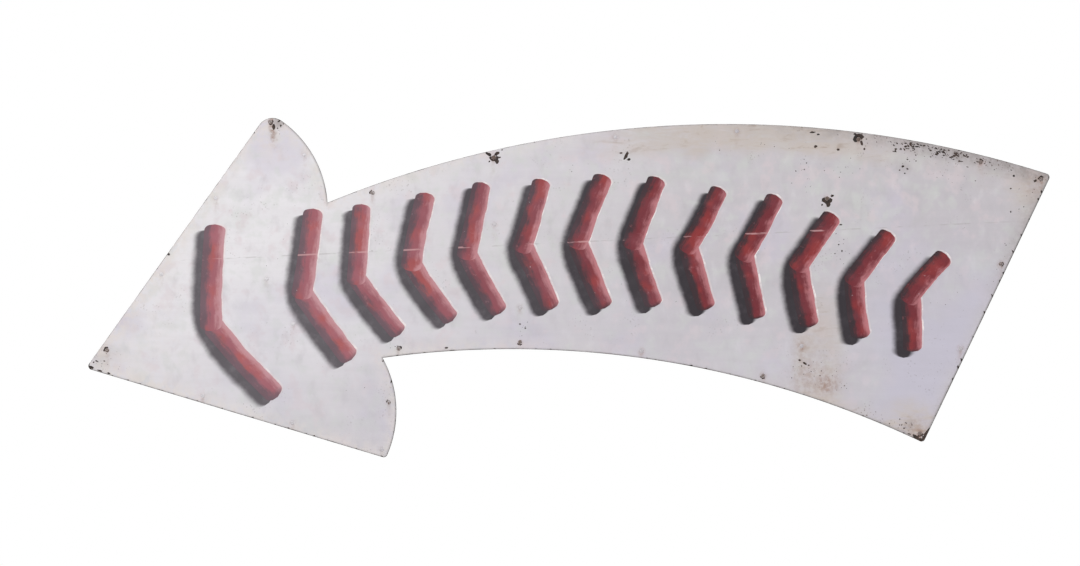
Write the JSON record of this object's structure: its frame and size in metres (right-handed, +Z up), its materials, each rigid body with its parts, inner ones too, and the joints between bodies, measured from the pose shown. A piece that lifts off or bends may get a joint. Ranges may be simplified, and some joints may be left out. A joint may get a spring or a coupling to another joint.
{
  "type": "directional sign",
  "caption": "Curved arrow-shaped wall sign: a painted sheet-steel face screwed to a half-lapped timber frame of curved rails and battens.",
  "frame": {"origin": "centre of the four wall-bolt holes, on the back plane of the timber frame", "axes": "+X to the right along the shaft, away from the arrow's tip; +Y out of the back, into the wall; +Z up; the painted face looks along -Y"},
  "size_m": [1.5035, 0.0255, 0.5302],
  "materials": {
    "painted_sheet": "aged off-white brush paint with red painted bars, rust at the edges and fixings",
    "frame_timber": "weathered softwood, bare",
    "sheet_screw": "painted over, rusted through",
    "joint_screw": "dull, lightly rusted"
  },
  "bodies": {
    "root": {"panel": "painted_sheet", "head_upper_rail": "frame_timber", "head_lower_rail": "frame_timber", "upper_barb_rail": "frame_timber", "lower_barb_rail": "frame_timber", "head_batten": "frame_timber", "top_rail": "frame_timber", "top_end_rail": "frame_timber", "bottom_rail": "frame_timber", "bottom_end_rail": "frame_timber", "tail_rail": "frame_timber", "left_batten": "frame_timber", "right_batten": "frame_timber", "edge_screws": "sheet_screw", "batten_screws": "sheet_screw", "joint_screws": "joint_screw"}
  },
  "joints": []
}
